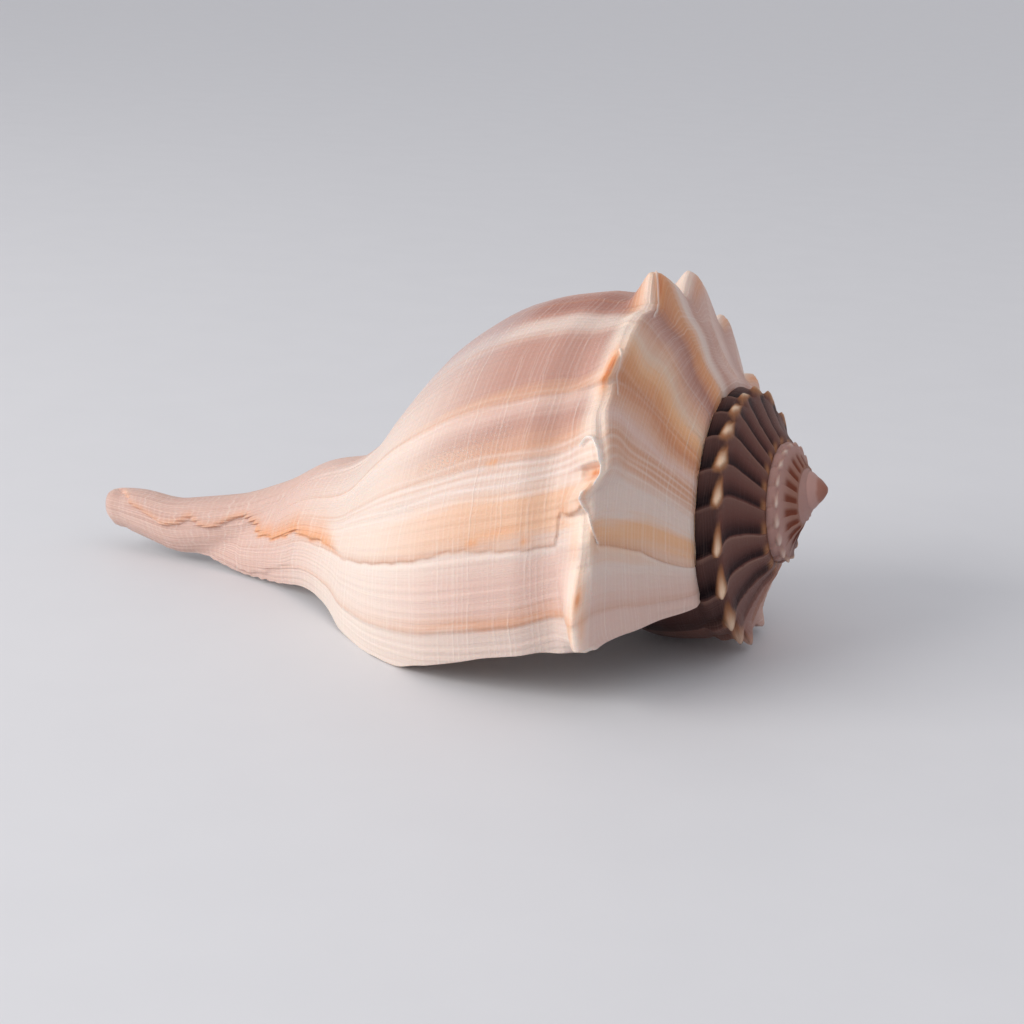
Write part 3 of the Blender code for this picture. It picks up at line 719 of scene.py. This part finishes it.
def shell_paint(name, sheen, gloss):
    paint = bpy.data.materials.new(name)
    paint.use_nodes = True
    tree = paint.node_tree
    shader = tree.nodes["Principled BSDF"]
    base, is_old, round_mm, down_mm = shell_colour(tree)
    wander = add(tree, "ShaderNodeTexNoise", {"Vector": spot(tree, down_mm, round_mm), "Scale": 0.06})
    sway = reckon(tree, "MULTIPLY", wander.outputs["Fac"], 9.0)
    fine = reckon(tree, "SINE", reckon(tree, "ADD", reckon(tree, "MULTIPLY", down_mm, 7.4), sway))
    broad = reckon(tree, "SINE", reckon(tree, "ADD", reckon(tree, "MULTIPLY", down_mm, 2.55), sway))
    patchy = cloud(tree, spot(tree, round_mm, down_mm, 0.10), 0.45)
    on_old = between(tree, is_old, 0, 1, 1.0, 0.6)
    strength = times(tree, between(tree, patchy, 0.36, 0.62, 0.2, 0.8), on_old)
    fine_part = between(tree, fine, 0.1, 1.0, 0.0, 0.45)
    broad_part = between(tree, broad, 0.90, 1.0, 0.0, 0.55)
    thread = reckon(tree, "MULTIPLY", reckon(tree, "ADD", fine_part, broad_part), strength)
    pale = tint(tree, is_old, THREAD_WHITE, THREAD_ON_DARK)
    colour = tint(tree, times(tree, thread, 0.6), base, tint(tree, 0.5, base, pale))
    lines = cloud(tree, spot(tree, round_mm, down_mm, 3.2, 0.05), 1.0, 4.0)
    darker = tint(tree, 0.6, colour, TAN, "MULTIPLY")
    colour = tint(tree, between(tree, lines, 0.56, 0.75, 0.0, 0.14), colour, darker)
    grain = cloud(tree, spot(tree, round_mm, down_mm), 2.2, 6.0)
    speck = times(tree, between(tree, grain, 0.60, 0.78, 0.0, 0.3), between(tree, is_old, 0, 1, 1.0, 0.15))
    colour = tint(tree, speck, colour, tint(tree, 0.6, colour, WHITE))
    # White specks of wear in the worn patches, partly painted glints.
    worn = reading(tree, "worn")
    fleck = cloud(tree, spot(tree, round_mm, down_mm), 3.4, 2.0)
    worn_and_glint_flecks = times(tree, between(tree, fleck, 0.56, 0.66), worn)
    colour = tint(tree, times(tree, worn_and_glint_flecks, 0.75), colour, WORN_AND_GLINT_WHITE)
    tree.links.new(colour, shader.inputs["Base Color"])
    height = reckon(tree, "ADD", times(tree, thread, 0.5), times(tree, lines, 0.6))
    height = reckon(tree, "ADD", height, times(tree, grain, 0.5))
    height = reckon(tree, "ADD", height, times(tree, worn_and_glint_flecks, 1.6))
    bump = add(tree, "ShaderNodeBump", {"Height": height, "Distance": 0.00016, "Strength": 0.7})
    tree.links.new(bump.outputs[0], shader.inputs["Normal"])
    tree.links.new(between(tree, grain, 0.3, 0.8, sheen, sheen + 0.2), shader.inputs["Roughness"])
    tree.links.new(between(tree, is_old, 0, 1, gloss, 0.12), shader.inputs["Specular IOR Level"])
    shader.inputs["Subsurface Weight"].default_value = 0.12
    shader.inputs["Subsurface Radius"].default_value = (1.0, 0.45, 0.25)
    shader.inputs["Subsurface Scale"].default_value = 0.003
    return paint


LAST_ROWS = np.concatenate([np.linspace(0, 0.185, 32)[:-1], np.linspace(0.185, 0.27, 44)[:-1],
                            np.linspace(0.27, V_SEAM, 5)[:-1], np.linspace(V_SEAM, 1, 96)])
last_turns = np.concatenate([np.linspace(-1, -0.28, 230)[:-1], np.linspace(-0.28, 0, 330)])
last_whorl = shell_mesh("last_whorl", last_turns, LAST_ROWS, outside)
last_whorl.data.materials.append(shell_paint("whorl lime", 0.38, 0.35))

# The spire: the earlier whorls, coiled up to the apex. The same shell lime, stained dark brown, each
# whorl ribbed like a fan and edged with cream knobs. It grew before the last whorl, which holds its foot.
SPIRE_COLUMNS_PER_TURN = 320
spire_turns = np.linspace(FIRST_TURN, -1, int(-(FIRST_TURN + 1) * SPIRE_COLUMNS_PER_TURN) + 1)
SPIRE_ROWS = np.concatenate([np.linspace(0, V_SHOULDER, 30)[:-1], np.linspace(V_SHOULDER, V_SEAM, 12)])
spire = shell_mesh("spire", spire_turns, SPIRE_ROWS, outside)
spire.data.materials.append(shell_paint("spire lime", 0.40, 0.13))

# The nub: the very first whorl, the shell the animal hatched with. A smooth blunt cone of darker brown
# shell lime, worn at its point; the spire grew on from its foot.
NUB = ((0.55, 0.0), (0.57, 0.40), (0.70, 0.66), (1.0, 1.1), (1.5, 1.7), (2.1, 2.2), (3.0, 3.02), (3.3, 3.1))
NUB_START = 0.55
NUB_LENGTH = 2.75
NUB_DENT = 0.03
NUB_BANDS = ((0.30, (0.30, 0.125, 0.09)), (0.62, (0.33, 0.15, 0.115)), (0.74, EARLY_ROSE), (1.0, CONE_ROSE))


def nub_shape(turn, v):
    along = NUB_START + NUB_LENGTH * v ** 1.5 + 0 * turn
    dents = 1 + NUB_DENT * np.sin(6 * math.pi * turn) * (1 - v)
    return stand(turn, along, through(NUB, along) * dents)


nub = shell_mesh("apex_nub", np.linspace(-6, -5, 41), np.linspace(0, 1, 21), nub_shape)
nub_paint = bpy.data.materials.new("nub lime")
nub_paint.use_nodes = True
nub_tree = nub_paint.node_tree
nub_shader = nub_tree.nodes["Principled BSDF"]
mottle = cloud(nub_tree, add(nub_tree, "ShaderNodeTexCoord").outputs["Object"], 900.0, 4.0)
how_far = reckon(nub_tree, "ADD", reading(nub_tree, "profile"), reckon(nub_tree, "MULTIPLY", mottle, 0.12))
nub_tree.links.new(bands(nub_tree, how_far, NUB_BANDS), nub_shader.inputs["Base Color"])
nub_bump = add(nub_tree, "ShaderNodeBump", {"Height": mottle, "Distance": 0.0002, "Strength": 0.5})
nub_tree.links.new(nub_bump.outputs[0], nub_shader.inputs["Normal"])
nub_shader.inputs["Roughness"].default_value = 0.45
nub_shader.inputs["Specular IOR Level"].default_value = 0.2
nub.data.materials.append(nub_paint)

# The inside: the hollow the animal lived in. Thin glossy apricot enamel laid over the same wall, so it
# is a lining of the last whorl and ends in the lip's edge and the open side of the canal.
WALL = ((0, 1.1), (0.15, 1.5), (0.3, 2.0), (0.6, 2.0), (0.75, 1.5), (0.9, 1.0), (1.0, 0.85))
LUMEN_TURNS = 0.85


def inside(turn, v):
    step = 0.001
    round_turn = turn + through(LIP, v)
    along, radius = soft_outline(round_turn, v)
    along_a, radius_a = soft_outline(round_turn, np.clip(v - step, 0, 1))
    along_b, radius_b = soft_outline(round_turn, np.clip(v + step, 0, 1))
    run, rise = along_b - along_a, radius_b - radius_a
    length = np.hypot(run, rise) + 1e-9
    wall = through(WALL, v)
    placed = stand(round_turn, along + wall * rise / length, np.maximum(radius - wall * run / length, 0.3))
    at_root = outside(turn - 1, np.full_like(v + 0 * turn, V_ROOT))
    return np.where((v <= 0)[..., None], at_root, placed)


def lip_edge(turn, v):
    share = np.clip(turn - to_lip(0.0, v), 0, 1)
    share, v = np.broadcast_arrays(share, v)
    last = to_lip(np.zeros_like(share), v)
    outer = outside(last, v)
    inner = inside(last, v)
    bulge = outside(last + 0.002, v) - outer
    swell = np.sin(np.pi * share)[..., None] * bulge
    return outer + (inner - outer) * share[..., None] + swell


lining_rows = np.concatenate([np.linspace(0, V_SEAM, 41)[:-1], np.linspace(V_SEAM, 1, 90)])
lining = shell_mesh("lining", np.linspace(0, -LUMEN_TURNS, 205), lining_rows, inside)
wall_turns = np.linspace(-1 - LUMEN_TURNS, -1, 205)
wall_behind = shell_mesh("inner_lip", wall_turns, np.linspace(V_SEAM, 1, 110), outside)
lip = shell_mesh("lip_edge_strip", np.linspace(0, 1, 9), LAST_ROWS, lip_edge)


DEEP_APRICOT = (0.80, 0.45, 0.27)
PALE_APRICOT = (0.86, 0.60, 0.44)
LIP_PEACH = (0.88, 0.66, 0.52)


def enamel(name):
    paint = bpy.data.materials.new(name)
    paint.use_nodes = True
    tree = paint.node_tree
    shader = tree.nodes["Principled BSDF"]
    growth = reading(tree, "growth")
    profile = reading(tree, "profile")
    round_mm = reckon(tree, "MULTIPLY", growth, ROUND_MM)
    down_mm = reckon(tree, "MULTIPLY", profile, DOWN_MM)
    ripple = cloud(tree, spot(tree, round_mm, down_mm, 0.5, 0.04), 1.0, 4.0)
    colour = tint(tree, between(tree, ripple, 0.3, 0.75), DEEP_APRICOT, PALE_APRICOT)
    colour = tint(tree, between(tree, growth, -0.02, 0.0), colour, LIP_PEACH)
    tree.links.new(colour, shader.inputs["Base Color"])
    tree.links.new(between(tree, ripple, 0.2, 0.8, 0.16, 0.3), shader.inputs["Roughness"])
    bump = add(tree, "ShaderNodeBump", {"Height": ripple, "Distance": 0.0002, "Strength": 0.4})
    tree.links.new(bump.outputs[0], shader.inputs["Normal"])
    shader.inputs["Subsurface Weight"].default_value = 0.2
    shader.inputs["Subsurface Radius"].default_value = (1.0, 0.4, 0.2)
    shader.inputs["Subsurface Scale"].default_value = 0.003
    return paint


apricot_enamel = enamel("apricot enamel")
for piece in (lining, wall_behind, lip):
    piece.data.materials.append(apricot_enamel)

# The floor: a plain pale board, only there to rest the shell on. It isn't part of the shell.
FLOOR_HALF = 3
BOARD_GREY = (0.68, 0.70, 0.74)
BOARD_WHITE = (0.71, 0.73, 0.77)
floor_corners = [(x * FLOOR_HALF, y * FLOOR_HALF, 0) for x, y in ((-1, -1), (1, -1), (1, 1), (-1, 1))]
floor_mesh = bpy.data.meshes.new("floor")
floor_mesh.from_pydata(floor_corners, [], [(0, 1, 2, 3)])
floor = bpy.data.objects.new("floor", floor_mesh)
bpy.context.scene.collection.objects.link(floor)
board = bpy.data.materials.new("pale board")
board.use_nodes = True
tree = board.node_tree
tree.nodes["Principled BSDF"].inputs["Roughness"].default_value = 0.6
grain = cloud(tree, add(tree, "ShaderNodeTexCoord").outputs["Object"], 60.0, 4.0)
tree.links.new(tint(tree, grain, BOARD_GREY, BOARD_WHITE),
               tree.nodes["Principled BSDF"].inputs["Base Color"])
floor_mesh.materials.append(board)

# Light and camera: one large soft light to the left of the shell, a pale room, and a camera that
# looks down a little on the shell from its spiny side, as the photograph does.
KEY_WAY = (-0.769, -0.781, 0.55)
KEY_DISTANCE = 0.9
KEY_SIZE = 0.7
KEY_POWER = 6.0
KEY_WARMTH = (1.0, 0.95, 0.90)
ROOM_COLOUR = (0.98, 0.96, 0.98, 1)
ROOM_STRENGTH = 0.66
SENSOR_MM = 36
CAMERA_PLACE = (0.135237, -0.320901, 0.119106)
CAMERA_TURN = (73.72499, -2.24946, 21.24299)
LENS_MM = 76.11328
key_data = bpy.data.lights.new("window", "AREA")
key_data.shape = "DISK"
key_data.size = KEY_SIZE
key_data.energy = KEY_POWER
key_data.color = KEY_WARMTH
key = bpy.data.objects.new("window", key_data)
way = np.array(KEY_WAY) / np.linalg.norm(KEY_WAY)
key.location = way * KEY_DISTANCE
key.rotation_euler = (math.acos(way[2]), 0, math.atan2(way[1], way[0]) + math.pi / 2)
bpy.context.scene.collection.objects.link(key)
room = bpy.data.worlds.new("pale room")
bpy.context.scene.world = room
room.use_nodes = True
room.node_tree.nodes["Background"].inputs["Color"].default_value = ROOM_COLOUR
room.node_tree.nodes["Background"].inputs["Strength"].default_value = ROOM_STRENGTH
camera_data = bpy.data.cameras.new("camera")
camera_data.lens = LENS_MM
camera_data.sensor_width = SENSOR_MM
camera = bpy.data.objects.new("camera", camera_data)
camera.location = CAMERA_PLACE
camera.rotation_euler = [math.radians(a) for a in CAMERA_TURN]
bpy.context.scene.collection.objects.link(camera)
bpy.context.scene.camera = camera
bpy.context.scene.view_settings.view_transform = "Standard"
